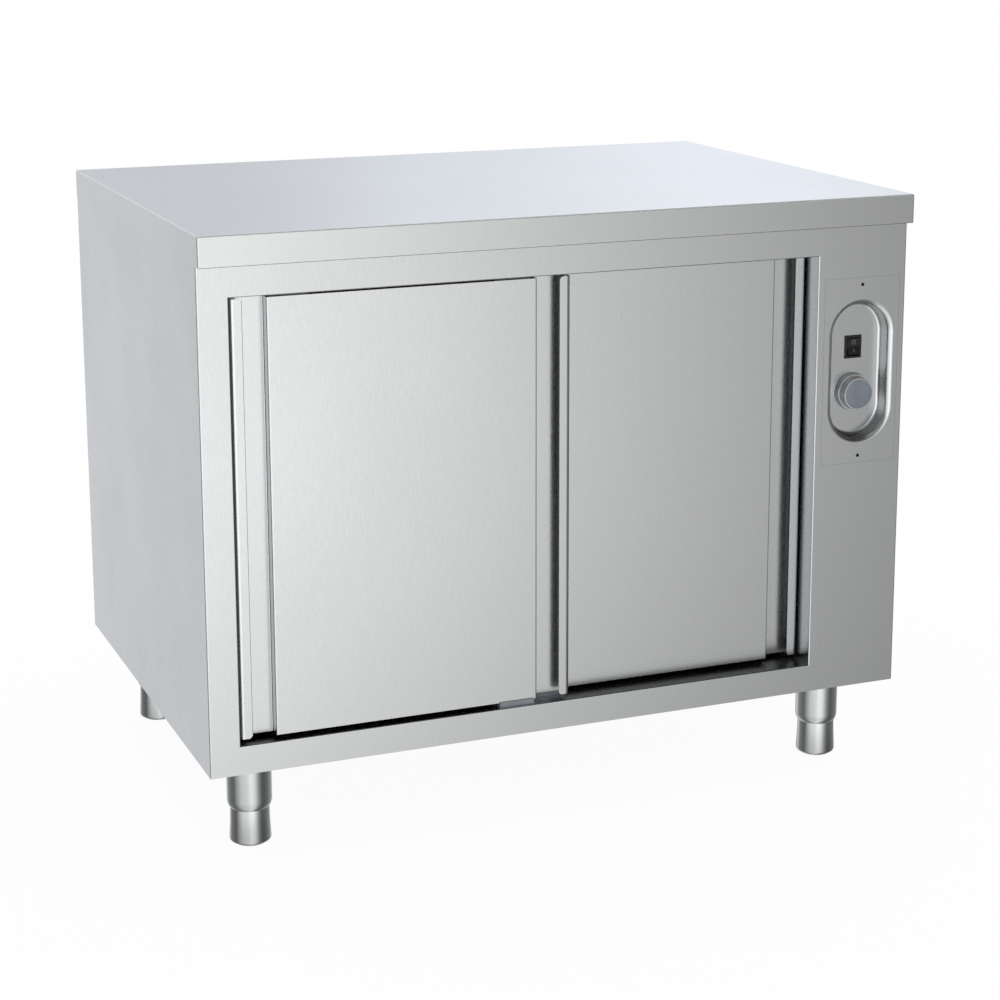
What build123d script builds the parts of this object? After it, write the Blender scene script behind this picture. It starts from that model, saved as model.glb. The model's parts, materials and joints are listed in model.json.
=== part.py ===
from build123d import *
import os
from math import degrees

# Plate warmer cabinet: a heated stainless cupboard with a worktop, two overlapping
# sliding doors, a control column on the right and four adjustable legs.
#
# Millimetres. The origin is on the floor under the middle of the worktop. +X is to the
# right as a person faces the doors, +Y is towards the back, +Z is up.

# ---------------------------------------------------------------- overall
cabinet_width = 1000.0
cabinet_depth = 700.0
cabinet_height = 826.0
worktop_height = 39.0
worktop_lip = 20.0
sheet = 1.2
liner_sheet = 1.0
bend = 2.0
touch = 0.3                     # gap between pieces that move past each other

# ---------------------------------------------------------------- body shell
body_side_inset = 0.7
body_front_setback = 15.5
body_back_inset = 1.5
leg_clearance = 127.0           # underside of the body above the floor
flange = 12.0                   # how far the shell sheets are folded in
base_height = 18.0              # the base panel stands this high above the underside
vent_slot_length = 46.0
vent_slot_width = 6.0
vent_rows = 7
vent_pitch = 14.0
vent_columns = (-32.0, 20.0)    # vent slots' middles either side of the control column's
vent_drop = 147.0               # top row below the worktop

# ---------------------------------------------------------------- door opening
left_stile = 40.4
control_column = 136.3
bottom_rail = 38.5
top_rail = 41.5
jamb_depth = 62.0
top_return = 4.0
opening_edge = 1.5

# ---------------------------------------------------------------- doors
door_recess = 6.0               # door face behind the frame face
door_pitch = 26.0               # rear door behind the front door
door_side_gap = 1.8
door_top_gap = 3.2
door_bottom_gap = 6.5
door_overlap = 95.7
door_thickness = 20.0
door_sheet = 1.0
grip_depth = 16.5
grip_mouth = 32.3
grip_lip = 15.4
grip_lip_bend = 5.2
grip_wall_bend = 1.6
grip_lip_corner = 4.5
door_slot = 9.0                 # open slot in the top of a door, for its hangers
door_travel = 357.0
core_front = 6.5                # core left in front of the hangers
core_gap = 1.0                  # round the hangers

# ---------------------------------------------------------------- door track and wheels
track_wall = 1.5
track_slot = 6.0
wheel_radius = 12.0
wheel_width = 6.0
wheel_play = 0.6
wheel_lift = 0.2                # tread above the rail
wheel_edge = 0.6
axle_radius = 3.0
axle_head = 1.2
axle_head_radius = 4.8
running_fit = 0.05
hanger_width = 50.0
hanger_sheet = 2.5
hanger_offset = 5.0             # hanger's edge from the grip wall
hanger_drop = 40.0
hanger_step = 10.0              # crank below the door's top
hanger_corner = 6.0
hanger_top_above_axle = 7.6
stop_length = 18.0
stop_width = 20.0
stop_drop = 32.0
stop_gap = 0.5

# ---------------------------------------------------------------- bottom door guide
guide_width = 49.0
guide_base = 5.0
guide_front_rib = 1.3
guide_front_height = 7.5
guide_fin_height = 16.5
guide_rear_rib = 2.0

# ---------------------------------------------------------------- control panel
panel_width = 116.0
panel_height = 260.0
panel_inset = 67.3              # middle of the panel from the right side of the body
panel_drop = 204.0              # middle of the panel below the worktop
panel_seam = 0.2
panel_return = 8.0
panel_screw_offset = 120.3
bracket_sheet = 1.8
bracket_foot = 5.5
bracket_height = 12.0
screw_radius = 2.4
recess_width = 88.1
recess_height = 190.4
recess_depth = 22.0
recess_right = 0.5              # middle of the recess from the middle of the panel
recess_drop = 1.3
recess_draft = 6.0              # degrees
recess_rim = 7.0
recess_floor_bend = 4.0

# ---------------------------------------------------------------- switch
switch_rise = 29.6              # above the middle of the panel
switch_width = 26.0
switch_height = 32.0
bezel_proud = 2.0
bezel_edge = 0.7
switch_body_width = 21.6
switch_body_height = 27.6
switch_body_depth = 22.0
switch_well = 13.0              # depth of the rocker's well behind the bezel's face
rocker_width = 18.4
rocker_half_height = 11.6
rocker_end = 9.5                # rocker's ends in front of its pivot
rocker_waist = 7.3              # rocker's middle in front of its pivot
rocker_shoulder = 2.0
rocker_keel = 4.0
rocker_keel_half = 5.0
rocker_edge = 0.8
rocker_tilt = 6.0               # degrees either side of level
rocker_pin_radius = 1.5
rocker_pivot_depth = 7.0        # pivot behind the bezel's face

# ---------------------------------------------------------------- thermostat and knob
knob_drop = 33.5                # below the middle of the panel
knob_skirt_radius = 26.6
knob_shoulder_radius = 25.0
knob_body_radius = 23.2
knob_face_radius = 22.0
knob_height = 20.0
knob_shoulder = 7.5             # height of the skirt's shoulder
knob_gap = 0.5
knob_edge = 0.8
knob_shoulder_edge = 0.5
knob_bore = 12.0
shaft_radius = 3.0
shaft_hole_radius = 4.0
shaft_seat = 18.0               # length of the spindle inside the thermostat
thermostat_size = 36.0
thermostat_depth = 30.0
thermostat_chamfer = 3.0
tab_offset = 8.0
tab_width = 6.0
tab_length = 8.0
tab_sheet = 0.8
bulb_radius = 3.0
bulb_length = 90.0
bulb_from_duct = 30.0
bulb_clip = 10.0
capillary_radius = 1.0
capillary_bend = 12.0
capillary_rise = 30.0           # loop above the bulb
capillary_entry = 10.0          # above the spindle

# ---------------------------------------------------------------- liner and insulation
liner_flange = 10.0
partition_flange = 12.0
back_cavity = 37.0
wool_gap = 2.0

# ---------------------------------------------------------------- shelf
shelf_lip = 28.0
shelf_hem = 9.0
shelf_side_gap = 2.0
shelf_front_gap = 14.0
shelf_back_gap = 6.0
support_reach = 16.0
support_height = 24.0
support_length = 520.0
support_sheet = 1.5

# ---------------------------------------------------------------- fan, heater, duct
fan_size = 119.0
fan_depth = 38.0
fan_bore_radius = 56.0
fan_drop = 265.5                # below the ceiling
fan_corner = 6.0
fan_hub_radius = 22.0
fan_hub_edge = 3.0
fan_motor_depth = 8.0
fan_strut = 6.0
fan_strut_depth = 4.0
fan_strut_root = 2.0            # strut sunk into the hub and into the frame
fan_tip_gap = 2.0
fan_face_gap = 4.0
fan_blades = 7
fan_blade_chord = 26.0
fan_blade_pitch = 38.0          # degrees
fan_blade_sheet = 2.0
fan_shaft_radius = 2.5
guard_rings = (18.0, 31.0, 44.0)
guard_slot = 6.0
guard_web = 4.0                 # metal left between two slots of a ring
duct_depth = 78.0
duct_width = 180.0
duct_rise = 29.5                # above the cupboard's floor
duct_above_fan = 80.0
element_radius = 4.25
element_bend = 16.0
element_rise = 60.5             # above the cupboard's floor
element_height = 146.0
element_step = 20.0             # inner loops lower than the ends
element_leg_pitch = 40.0
element_tail = 14.0
outlet_slot_length = 60.0
outlet_slot_width = 8.0
outlet_rows = 6
outlet_pitch = 18.0
outlet_rise = 72.5              # lowest row above the cupboard's floor
outlet_offset = 36.0

# ---------------------------------------------------------------- cable entry
gland_radius = 5.0
gland_hex = 22.0
gland_hex_length = 6.0
gland_length = 17.0
gland_dome_edge = 4.0
gland_thread_radius = 8.0
gland_thread = 12.0             # length of the thread above the base
gland_nut_height = 5.0
gland_inset = 168.5             # from the back of the body
terminal_pitch = 70.0           # terminal block in front of the gland
terminal_width = 62.0
terminal_height = 24.0
terminal_depth = 22.0
terminal_well_radius = 4.0
terminal_well_floor = 10.0

# ---------------------------------------------------------------- worktop core
board_thickness = 18.0
stiffener_width = 60.0
stiffener_wall = 1.5
stiffener_gap = 1.0

# ---------------------------------------------------------------- legs
leg_side_inset = 74.0
leg_front_inset = 101.0
leg_rear_inset = 90.0
sleeve_radius = 30.1
sleeve_wall = 1.5
sleeve_bottom = 50.5
sleeve_round = 6.0
leg_plate = 90.0
leg_plate_thickness = 3.0
leg_plate_corner = 6.0
foot_radius = 25.4
foot_cap_radius = 27.2
foot_cap_height = 9.0
foot_cap_round = 5.0
foot_top = 95.0
foot_wall = 2.0
foot_floor = 50.0               # solid up to here, hollow above
foot_play = 0.4
foot_raise = 15.0               # how far the foot screws up from here
stem_radius = 8.0
stem_hole_gap = 2.0
boss_radius = 14.0
boss_length = 70.0

# ================================================================ worked-out planes
worktop_bottom = cabinet_height - worktop_height
body_left = -cabinet_width / 2 + body_side_inset
body_right = -body_left
body_front = -cabinet_depth / 2 + body_front_setback
body_back = cabinet_depth / 2 - body_back_inset
body_bottom = leg_clearance
body_top = worktop_bottom

opening_left = body_left + left_stile
opening_right = body_right - control_column
opening_bottom = body_bottom + bottom_rail
opening_top = body_top - top_rail

base_top = body_bottom + base_height + sheet
stem_top = base_top - sheet - foot_raise
floor_top = opening_bottom
liner_front = body_front + jamb_depth
liner_back = body_back - sheet - back_cavity
ceiling = opening_top
shelf_height = (floor_top + ceiling) / 2

panel_centre_x = body_right - panel_inset
panel_centre_z = body_top - panel_drop
switch_z = panel_centre_z + switch_rise
knob_z = panel_centre_z - knob_drop
vent_height = body_top - vent_drop

fan_y = (liner_front + liner_back) / 2
fan_z = ceiling - fan_drop
duct_bottom = floor_top + duct_rise
duct_top = fan_z + duct_above_fan
element_bottom = floor_top + element_rise
element_top = element_bottom + element_height
outlet_bottom = floor_top + outlet_rise
gland_y = body_back - gland_inset
stiffener_x = cabinet_width / 4

leg_x = cabinet_width / 2 - leg_side_inset
leg_front_y = -cabinet_depth / 2 + leg_front_inset
leg_rear_y = cabinet_depth / 2 - leg_rear_inset

door_width = (opening_right - opening_left - 2 * door_side_gap + door_overlap) / 2
door_bottom = opening_bottom + door_bottom_gap
door_top = opening_top - door_top_gap
front_door_y = body_front + door_recess
rear_door_y = front_door_y + door_pitch
left_door_x = opening_left + door_side_gap
right_door_x = opening_right - door_side_gap - door_width
grip_width = grip_lip + grip_mouth
track_bottom = opening_top + sheet
track_top = body_top - sheet
track_run = track_bottom + track_wall
axle_z = track_run + wheel_lift + wheel_radius
hanger_edge = grip_width + door_sheet + hanger_offset

recess_floor = body_front + recess_depth
bezel_face = recess_floor - bezel_proud


# ================================================================ shared shapes
def block(x, y, z):
    """A box between a low and a high limit on each axis."""
    size = [high - low for low, high in (x, y, z)]
    centre = [(high + low) / 2 for low, high in (x, y, z)]
    return Pos(*centre) * Box(*size)


def pan(x, y, z, closed, wall, lip=0.0):
    """A folded sheet pan that fills the box x, y, z.

    closed names its flat side, such as "+Z". The opposite side is open, with its rim
    turned in by lip.
    """
    limits = [list(x), list(y), list(z)]
    axis = "XYZ".index(closed[1])
    open_end = 0 if closed[0] == "+" else 1
    outward = 1 if open_end else -1
    rim = limits[axis][open_end]
    hollow = [[low + wall, high - wall] for low, high in limits]
    hollow[axis][open_end] = rim - outward * wall if lip else rim + outward * wall
    shape = block(*limits) - block(*hollow)
    if lip:
        mouth = [[low + lip, high - lip] for low, high in limits]
        mouth[axis] = sorted((rim - 2 * outward * wall, rim + outward * wall))
        shape -= block(*mouth)
    return shape


def edges_at(shape, direction, **places):
    """The straight edges along one axis whose middles lie at the given x, y or z."""
    found = shape.edges().filter_by(direction)
    for name, place in places.items():
        axis = "xyz".index(name)
        found = [e for e in found if abs(tuple(e @ 0.5)[axis] - place) < 0.01]
    return found


def folded_strip(points, thickness, radii, plane, low, high):
    """A bent strip: a centre line given a thickness and pulled from low to high."""
    line = FilletPolyline(*points, radius=radii)
    section = trace(line, line_width=thickness)
    return extrude(plane.offset(low) * section, high - low)


def turned(points, place):
    """A solid of revolution about the vertical axis through place, from (r, z) points."""
    face = make_face(Polyline(*points, close=True))
    return Pos(*place) * revolve(Plane.XZ * face, Axis.Z)


def y_cylinder(x, z, radius, front, back):
    """A round bar along Y between two planes."""
    middle = (front + back) / 2
    return Pos(x, middle, z) * Rot(90, 0, 0) * Cylinder(radius, back - front)


def x_cylinder(y, z, radius, left, right):
    """A round bar along X between two planes."""
    middle = (left + right) / 2
    return Pos(middle, y, z) * Rot(0, 90, 0) * Cylinder(radius, right - left)


def z_cylinder(x, y, radius, low, high):
    """A round bar along Z between two planes."""
    return Pos(x, y, (low + high) / 2) * Cylinder(radius, high - low)


# ================================================================ worktop
def worktop():
    """The folded worktop tray, its skirts turned in at the bottom."""
    half_x = cabinet_width / 2
    half_y = cabinet_depth / 2
    tray = pan((-half_x, half_x), (-half_y, half_y), (worktop_bottom, cabinet_height),
               "+Z", sheet, worktop_lip)
    corners = edges_at(tray, Axis.Z, x=-half_x) + edges_at(tray, Axis.Z, x=half_x)
    tray = fillet(corners, bend)
    rim = [e for e in tray.edges() if abs((e @ 0.5).Z - cabinet_height) < 0.01]
    return fillet(rim, bend)


def worktop_board():
    """The board glued under the worktop sheet to deaden it."""
    half_x = cabinet_width / 2 - sheet
    half_y = cabinet_depth / 2 - sheet
    top = cabinet_height - sheet
    return block((-half_x, half_x), (-half_y, half_y), (top - board_thickness, top))


def worktop_stiffeners():
    """Two channels between the board and the top flanges of the body."""
    top = cabinet_height - sheet - board_thickness
    half_y = cabinet_depth / 2 - worktop_lip - stiffener_gap
    channels = []
    for x in (-stiffener_x, stiffener_x):
        outer = (x - stiffener_width / 2, x + stiffener_width / 2)
        channels.append(pan(outer, (-half_y, half_y), (body_top, top), "+Z", stiffener_wall))
    return channels


# ================================================================ body shell
def front_frame():
    """The one-piece face: door opening with its jambs and sill, and the control column."""
    face = pan((body_left, body_right), (body_front, body_front + flange),
               (body_bottom, body_top), "-Y", sheet)
    face = fillet(edges_at(face, Axis.Z, y=body_front), bend)
    back = body_front + jamb_depth
    around = ((opening_left - sheet, opening_right + sheet), (body_front, back),
              (opening_bottom - sheet, opening_top + sheet))
    through = ((opening_left, opening_right), (body_front - sheet, back + sheet),
               (opening_bottom, opening_top))
    above = ((opening_left - 2 * sheet, opening_right + 2 * sheet),
             (body_front + top_return, back + sheet), (opening_top, opening_top + 2 * sheet))
    jambs = block(*around) - block(*above)
    frame = face + jambs - block(*through)
    opening_edges = [
        e for e in frame.edges()
        if abs((e @ 0.5).Y - body_front) < 0.01 and e.bounding_box().min.Y > body_front - 0.01
        and opening_left - 0.01 < (e @ 0.5).X < opening_right + 0.01
        and opening_bottom - 0.01 < (e @ 0.5).Z < opening_top + 0.01]
    frame = fillet(opening_edges, opening_edge)
    half_x = panel_width / 2 + panel_seam
    half_z = panel_height / 2 + panel_seam
    window = block((panel_centre_x - half_x, panel_centre_x + half_x),
                   (body_front - sheet, body_front + 2 * sheet),
                   (panel_centre_z - half_z, panel_centre_z + half_z))
    return frame - window


def side_panel(side):
    """One side of the shell, folded in at the top, the bottom and the back.

    side is -1 for left, 1 for right. Its front edge is welded to the front frame.
    """
    outer = side * body_right
    x = sorted((outer, outer - side * flange))
    front = body_front + flange
    panel = pan(x, (front, body_back), (body_bottom, body_top), "-X" if side < 0 else "+X", sheet)
    inner_x = sorted((outer - side * sheet, outer - side * flange))
    return panel - block(inner_x, (front, front + sheet), (body_bottom + sheet, body_top - sheet))


def back_panel():
    """The outer back, between the side panels, with a field of vent slots behind the bay."""
    x = (body_left + sheet, body_right - sheet)
    inner_z = (body_bottom + sheet, body_top - sheet)
    panel = pan(x, (body_back - sheet - flange, body_back - sheet), inner_z, "+Y", sheet)
    slot = extrude(Plane.XZ * SlotOverall(vent_slot_length, vent_slot_width), -4 * sheet)
    for row in range(vent_rows):
        z = vent_height - row * vent_pitch
        for column in vent_columns:
            panel -= Pos(panel_centre_x + column, body_back - 3 * sheet, z) * slot
    return panel


def leg_places():
    """Name and plan position of each leg."""
    return {
        "front_left": (-leg_x, leg_front_y),
        "front_right": (leg_x, leg_front_y),
        "rear_left": (-leg_x, leg_rear_y),
        "rear_right": (leg_x, leg_rear_y),
    }


def base_panel():
    """The underside: a pan standing on the shell's bottom flanges."""
    bottom = body_bottom + sheet
    panel = pan((body_left + sheet, body_right - sheet),
                (body_front + sheet, body_back - sheet - flange), (bottom, base_top), "+Z", sheet)
    for x, y in leg_places().values():
        panel -= z_cylinder(x, y, stem_radius + stem_hole_gap, bottom, base_top + sheet)
    gland_hole = z_cylinder(panel_centre_x, gland_y, gland_thread_radius, bottom, base_top + sheet)
    return panel - gland_hole


# ================================================================ liner
def liner_left():
    """Left wall of the heated cupboard."""
    return pan((opening_left - liner_flange, opening_left), (liner_front, liner_back),
               (floor_top, ceiling), "+X", liner_sheet)


def liner_back_wall():
    """Back wall of the heated cupboard."""
    return pan((opening_left - liner_flange, opening_right + partition_flange),
               (liner_back, liner_back + liner_flange), (floor_top, ceiling), "-Y", liner_sheet)


def liner_ceiling():
    """Ceiling of the heated cupboard."""
    return pan((opening_left - liner_flange, opening_right + partition_flange),
               (liner_front + wool_gap, liner_back + liner_flange), (ceiling, ceiling + 2 * liner_flange),
               "-Z", liner_sheet)


def cupboard_floor():
    """Floor of the heated cupboard, its skirts standing on the base panel."""
    return pan((opening_left - liner_flange, opening_right + partition_flange),
               (liner_front, liner_back + liner_flange), (base_top, floor_top),
               "+Z", liner_sheet)


def guard_slots():
    """Rings of arc slots in front of the fan, drawn about the origin."""
    slots = Sketch()
    for ring in guard_rings:
        sweep_angle = 90 - degrees((guard_slot + guard_web) / ring)
        for quarter in range(4):
            arc = CenterArc((0, 0), ring, quarter * 90, sweep_angle)
            slots += SlotArc(arc, guard_slot)
    return slots


def partition():
    """Wall between cupboard and bay: fan guard above, warm air outlet slots below."""
    wall = pan((opening_right, opening_right + partition_flange), (liner_front, liner_back),
               (floor_top, ceiling), "-X", liner_sheet)
    cut = 4 * liner_sheet
    guard = extrude(Plane.YZ * guard_slots(), cut)
    wall -= Pos(opening_right - liner_sheet, fan_y, fan_z) * guard
    slot = extrude(Plane.YZ * SlotOverall(outlet_slot_length, outlet_slot_width), cut)
    for row in range(outlet_rows):
        z = outlet_bottom + row * outlet_pitch
        for y in (fan_y - outlet_offset, fan_y + outlet_offset):
            wall -= Pos(opening_right - liner_sheet, y, z) * slot
    return wall


def insulation():
    """The mineral wool slabs, each between a liner wall and the shell."""
    side_low = body_left + sheet
    back_high = body_back - 2 * sheet
    across = (opening_left - liner_flange + wool_gap, opening_right + partition_flange - wool_gap)
    tall = (floor_top + wool_gap, ceiling - wool_gap)
    deep = (liner_front + 2 * wool_gap, liner_back - wool_gap)
    return {
        "insulation_left": block((side_low, opening_left - liner_sheet), deep, tall),
        "insulation_back": block(across, (liner_back + liner_sheet, back_high), tall),
        "insulation_top": block(across, deep, (ceiling + liner_sheet, body_top - 2 * sheet)),
        "insulation_base": block(across, deep, (base_top, floor_top - liner_sheet)),
    }


# ================================================================ shelf
def shelf():
    """The middle shelf, its edges turned down and in."""
    return pan((opening_left + shelf_side_gap, opening_right - shelf_side_gap),
               (liner_front + shelf_front_gap, liner_back - shelf_back_gap),
               (shelf_height - shelf_lip, shelf_height), "+Z", liner_sheet, shelf_hem)


def shelf_supports():
    """An angle rail on each side wall, under the shelf."""
    top = shelf_height - shelf_lip
    middle = (liner_front + liner_back) / 2
    y = (middle - support_length / 2, middle + support_length / 2)
    rails = []
    for wall, way in ((opening_left, 1), (opening_right, -1)):
        x = sorted((wall, wall + way * support_reach))
        rail = block(x, y, (top - support_height, top))
        hollow_x = sorted((wall + way * support_sheet, wall + way * (support_reach + 1)))
        rails.append(rail - block(hollow_x, (y[0] - 1, y[1] + 1),
                                  (top - support_height - 1, top - support_sheet)))
    return rails


# ================================================================ doors
def door_skin(x, y):
    """A door's front skin: the panel and both grip channels, folded from one sheet.

    x is the door's left edge and y its front face.
    """
    half = door_sheet / 2
    floor = y + grip_depth + half
    left_wall = x + grip_width + half
    right = x + door_width
    path = [
        (x + grip_lip, y + half), (x + half, y + half), (x + half, floor),
        (left_wall, floor), (left_wall, y + half),
        (right - grip_width - half, y + half), (right - grip_width - half, floor),
        (right - half, floor), (right - half, y + half), (right - grip_lip, y + half)]
    outer_bends = [grip_lip_bend, grip_wall_bend, grip_wall_bend, grip_wall_bend]
    skin = folded_strip(path, door_sheet, outer_bends + outer_bends[::-1], Plane.XY,
                        door_bottom, door_top)
    lips = [e for e in skin.edges().filter_by(Axis.Y)
            if abs((e @ 0.5).Y - y - half) < 0.01
            and min(abs((e @ 0.5).X - x - grip_lip), abs((e @ 0.5).X - right + grip_lip)) < 0.01]
    skin = fillet(lips, grip_lip_corner)
    span = (left_wall, right - grip_width - half)
    skin += block(span, (y + half, y + grip_depth + door_sheet),
                  (door_bottom, door_bottom + door_sheet))
    top_flange = (door_thickness - door_slot) / 2
    return skin + block(span, (y + half, y + top_flange), (door_top - door_sheet, door_top))


def door_back(x, y):
    """A door's back skin, with a flange along its top that leaves the hanger slot."""
    back = y + door_thickness
    front = back - door_sheet
    skin = block((x + touch, x + door_width - touch), (front, back), (door_bottom, door_top))
    span = (x + grip_width + door_sheet, x + door_width - grip_width - door_sheet)
    flange_front = y + (door_thickness + door_slot) / 2
    return skin + block(span, (flange_front, front), (door_top - door_sheet, door_top))


def hanger_lefts(x):
    """Left edges of a door's two hangers."""
    return (x + hanger_edge, x + door_width - hanger_edge - hanger_width)


def door_core(x, y):
    """The insulating core of a door, cut away round the hangers."""
    wall = grip_width + door_sheet
    core = block((x + wall, x + door_width - wall),
                 (y + door_sheet, y + door_thickness - door_sheet),
                 (door_bottom + door_sheet, door_top - door_sheet))
    front_corners = edges_at(core, Axis.Z, y=y + door_sheet)
    core = fillet(front_corners, grip_wall_bend - door_sheet / 2)
    notch_bottom = door_top - hanger_drop - core_gap
    for left in hanger_lefts(x):
        core -= block((left - core_gap, left + hanger_width + core_gap),
                      (y + core_front, y + door_thickness), (notch_bottom, door_top))
    return core


def door_hangers(x, y):
    """Two cranked plates on the back skin that carry the axles above the door."""
    middle = y + door_thickness / 2
    flange_y = y + door_thickness - door_sheet - hanger_sheet / 2
    step = door_top - hanger_step
    path = [(middle, axle_z + hanger_top_above_axle), (middle, step), (flange_y, step),
            (flange_y, door_top - hanger_drop)]
    hangers = []
    for left in hanger_lefts(x):
        plate = folded_strip(path, hanger_sheet, hanger_sheet / 2 + 0.5, Plane.YZ,
                             left, left + hanger_width)
        centre = left + hanger_width / 2
        corners = edges_at(plate, Axis.Y, y=middle, z=axle_z + hanger_top_above_axle)
        plate = fillet(corners, hanger_corner)
        hangers.append(plate - y_cylinder(centre, axle_z, axle_radius, y, y + door_thickness))
    return hangers


def door_axles(x, y):
    """The headed pins through the hangers."""
    middle = y + door_thickness / 2
    reach = hanger_sheet / 2 + wheel_play + wheel_width + wheel_play
    axles = []
    for left in hanger_lefts(x):
        centre = left + hanger_width / 2
        pin = y_cylinder(centre, axle_z, axle_radius, middle - reach, middle + reach)
        for end in (middle - reach - axle_head, middle + reach):
            pin += y_cylinder(centre, axle_z, axle_head_radius, end, end + axle_head)
        axles.append(pin)
    return axles


def wheel_pair(left, y):
    """The two wheels of one hanger, either side of its plate."""
    middle = y + door_thickness / 2
    centre = left + hanger_width / 2
    inner = hanger_sheet / 2 + wheel_play
    wheels = []
    for front in (middle - inner - wheel_width, middle + inner):
        wheel = y_cylinder(centre, axle_z, wheel_radius, front, front + wheel_width)
        wheel = chamfer(wheel.edges().filter_by(GeomType.CIRCLE), wheel_edge)
        bore = y_cylinder(centre, axle_z, axle_radius + running_fit, front - 1,
                          front + wheel_width + 1)
        wheels.append(wheel - bore)
    return wheels


# ================================================================ door running gear
def door_track():
    """Double track: two chambers, each with a slot for the hangers between two rails."""
    x = (opening_left - sheet, opening_right + sheet)
    centres = [front_door_y + door_thickness / 2, rear_door_y + door_thickness / 2]
    half = door_pitch / 2
    low = centres[0] - half - track_wall / 2
    high = centres[1] + half + track_wall / 2
    track = block(x, (low, high), (track_bottom, track_top))
    for centre in centres:
        inner = half - track_wall / 2
        track -= block((x[0] - 1, x[1] + 1), (centre - inner, centre + inner),
                       (track_run, track_top - track_wall))
        track -= block((x[0] - 1, x[1] + 1), (centre - track_slot / 2, centre + track_slot / 2),
                       (track_bottom - 1, track_run + 1))
    return track


def track_stops():
    """Rubber blocks under the track's roof that stop the hangers at each end."""
    roof = track_top - track_wall
    stops = []
    for door_x, door_y, way in ((left_door_x, front_door_y, 1), (right_door_x, rear_door_y, -1)):
        middle = door_y + door_thickness / 2
        ends = sorted((door_x, door_x + way * door_travel))
        first = ends[0] + hanger_edge - stop_gap - stop_length
        last = ends[1] + door_width - hanger_edge + stop_gap
        for left in (first, last):
            stops.append(block((left, left + stop_length),
                               (middle - stop_width / 2, middle + stop_width / 2),
                               (roof - stop_drop, roof)))
    return stops


def door_guide():
    """Block on the sill that keeps both doors upright: a rib before, between and behind."""
    centre = (opening_left + opening_right) / 2 - guide_width / 2
    x = (centre - guide_width / 2, centre + guide_width / 2)
    front = front_door_y - touch - guide_front_rib
    back = rear_door_y + door_thickness + 2 * touch + guide_rear_rib
    between = (front_door_y + door_thickness + 2 * touch, rear_door_y - 2 * touch)
    guide = block(x, (front, back), (floor_top, floor_top + guide_base))
    guide += block(x, (front, front + guide_front_rib), (floor_top, floor_top + guide_front_height))
    guide += block(x, between, (floor_top, floor_top + guide_fin_height))
    guide += block(x, (back - guide_rear_rib, back), (floor_top, floor_top + guide_fin_height))
    return guide


# ================================================================ control panel
def stadium(width, height):
    """An upright slot shape on the face plane."""
    return Plane.XZ * Rot(0, 0, 90) * SlotOverall(height, width)


def recess_form(width, height, depth, corner):
    """The drafted bowl of the recess, from the face plane back, with a rounded floor edge."""
    bowl = extrude(stadium(width, height), -depth, taper=recess_draft)
    floor_edges = [e for e in bowl.edges() if abs((e @ 0.5).Y - depth) < 0.01]
    return fillet(floor_edges, corner)


def recess_edges(shape, depth, outset):
    """The edges round the recess at a depth behind the face, up to outset from its walls."""
    return [e for e in shape.edges() if abs((e @ 0.5).Y - depth) < 0.01
            and abs((e @ 0.5).X - recess_right) < recess_width / 2 + outset + 0.01
            and abs((e @ 0.5).Z + recess_drop) < recess_height / 2 + outset + 0.01]


def control_panel():
    """Small plate with a pressed recess for the switch and the knob."""
    half_x = panel_width / 2
    half_z = panel_height / 2
    plate = pan((-half_x, half_x), (0, panel_return), (-half_z, half_z), "-Y", sheet)
    outer = recess_form(recess_width + 2 * sheet, recess_height + 2 * sheet,
                        recess_depth + sheet, recess_floor_bend + sheet)
    inner = recess_form(recess_width, recess_height, recess_depth, recess_floor_bend)
    place = Pos(recess_right, 0, -recess_drop)
    shape = plate + place * outer
    shape = fillet(recess_edges(shape, sheet, sheet), recess_rim - sheet)
    shape -= place * inner
    shape = fillet(recess_edges(shape, 0, 0), recess_rim)
    for z in (-panel_screw_offset, panel_screw_offset):
        shape -= y_cylinder(0, z, screw_radius, -sheet, 2 * sheet)
    shape -= y_cylinder(0, knob_z - panel_centre_z, shaft_hole_radius, recess_depth - 1,
                        recess_depth + 2 * sheet)
    half_w = switch_body_width / 2
    half_h = switch_body_height / 2
    z = switch_z - panel_centre_z
    shape -= block((-half_w, half_w), (recess_depth - 1, recess_depth + 2 * sheet),
                   (z - half_h, z + half_h))
    return Pos(panel_centre_x, body_front, panel_centre_z) * shape


def panel_brackets():
    """Two bridge strips welded behind the face sheet, with the panel's screw holes."""
    half = bracket_sheet / 2
    edge = panel_width / 2 + panel_seam + half + touch
    front = body_front + sheet + half
    back = body_front + panel_return + half
    left = panel_centre_x - edge
    right = panel_centre_x + edge
    path = [(left - bracket_foot, front), (left, front), (left, back),
            (right, back), (right, front), (right + bracket_foot, front)]
    strips = []
    for side in (-1, 1):
        z = panel_centre_z + side * panel_screw_offset
        strip = folded_strip(path, bracket_sheet, bracket_sheet / 2 + 0.1, Plane.XY,
                             z - bracket_height / 2, z + bracket_height / 2)
        hole = y_cylinder(panel_centre_x, z, screw_radius, front, back + bracket_sheet)
        strips.append(strip - hole)
    return strips


def panel_screws():
    """The two dark screws of the control panel."""
    screws = []
    for side in (-1, 1):
        z = panel_centre_z + side * panel_screw_offset
        screws.append(y_cylinder(panel_centre_x, z, screw_radius, body_front - 0.2,
                                 body_front + panel_return + 3 * sheet))
    return screws


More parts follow.
